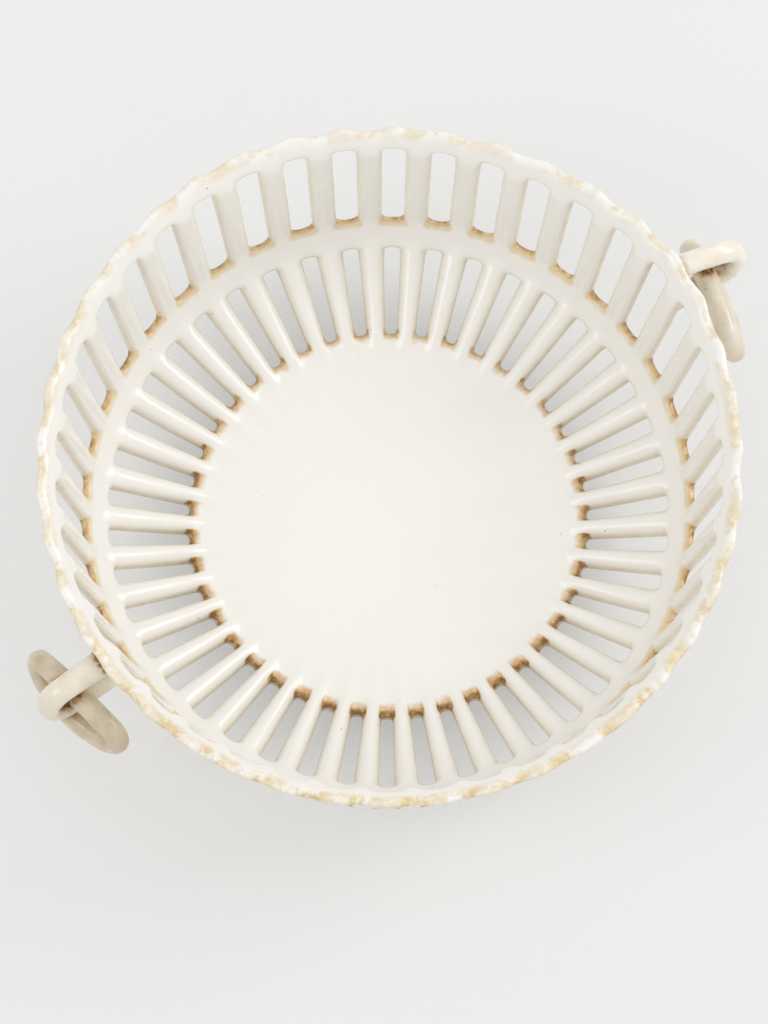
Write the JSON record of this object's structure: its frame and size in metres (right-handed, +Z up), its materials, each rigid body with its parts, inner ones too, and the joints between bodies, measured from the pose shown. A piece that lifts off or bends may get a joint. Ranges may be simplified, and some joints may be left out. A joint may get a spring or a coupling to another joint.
{
  "type": "ceramic basket",
  "caption": "Round footed creamware basket with pierced wall, scalloped lip and a linked coil handle on each side.",
  "frame": {"origin": "centre of the foot's tread, on the surface that the basket stands on", "axes": "+X out through the right handle, +Y square to the two handles, +Z up out of the bowl"},
  "size_m": [0.2928, 0.2427, 0.0926],
  "materials": {
    "cream_glaze": "glossy cream-white lead glaze with ochre stain pooled in the slots and on the worn lip",
    "buff_glaze": "glossy buff glaze, darker in the crevices where the coils cross"
  },
  "bodies": {
    "root": {"pierced_bowl": "cream_glaze", "foot_ring": "cream_glaze", "right_handle_loop": "buff_glaze", "right_handle_ring": "buff_glaze", "left_handle_loop": "buff_glaze", "left_handle_ring": "buff_glaze"}
  },
  "joints": []
}
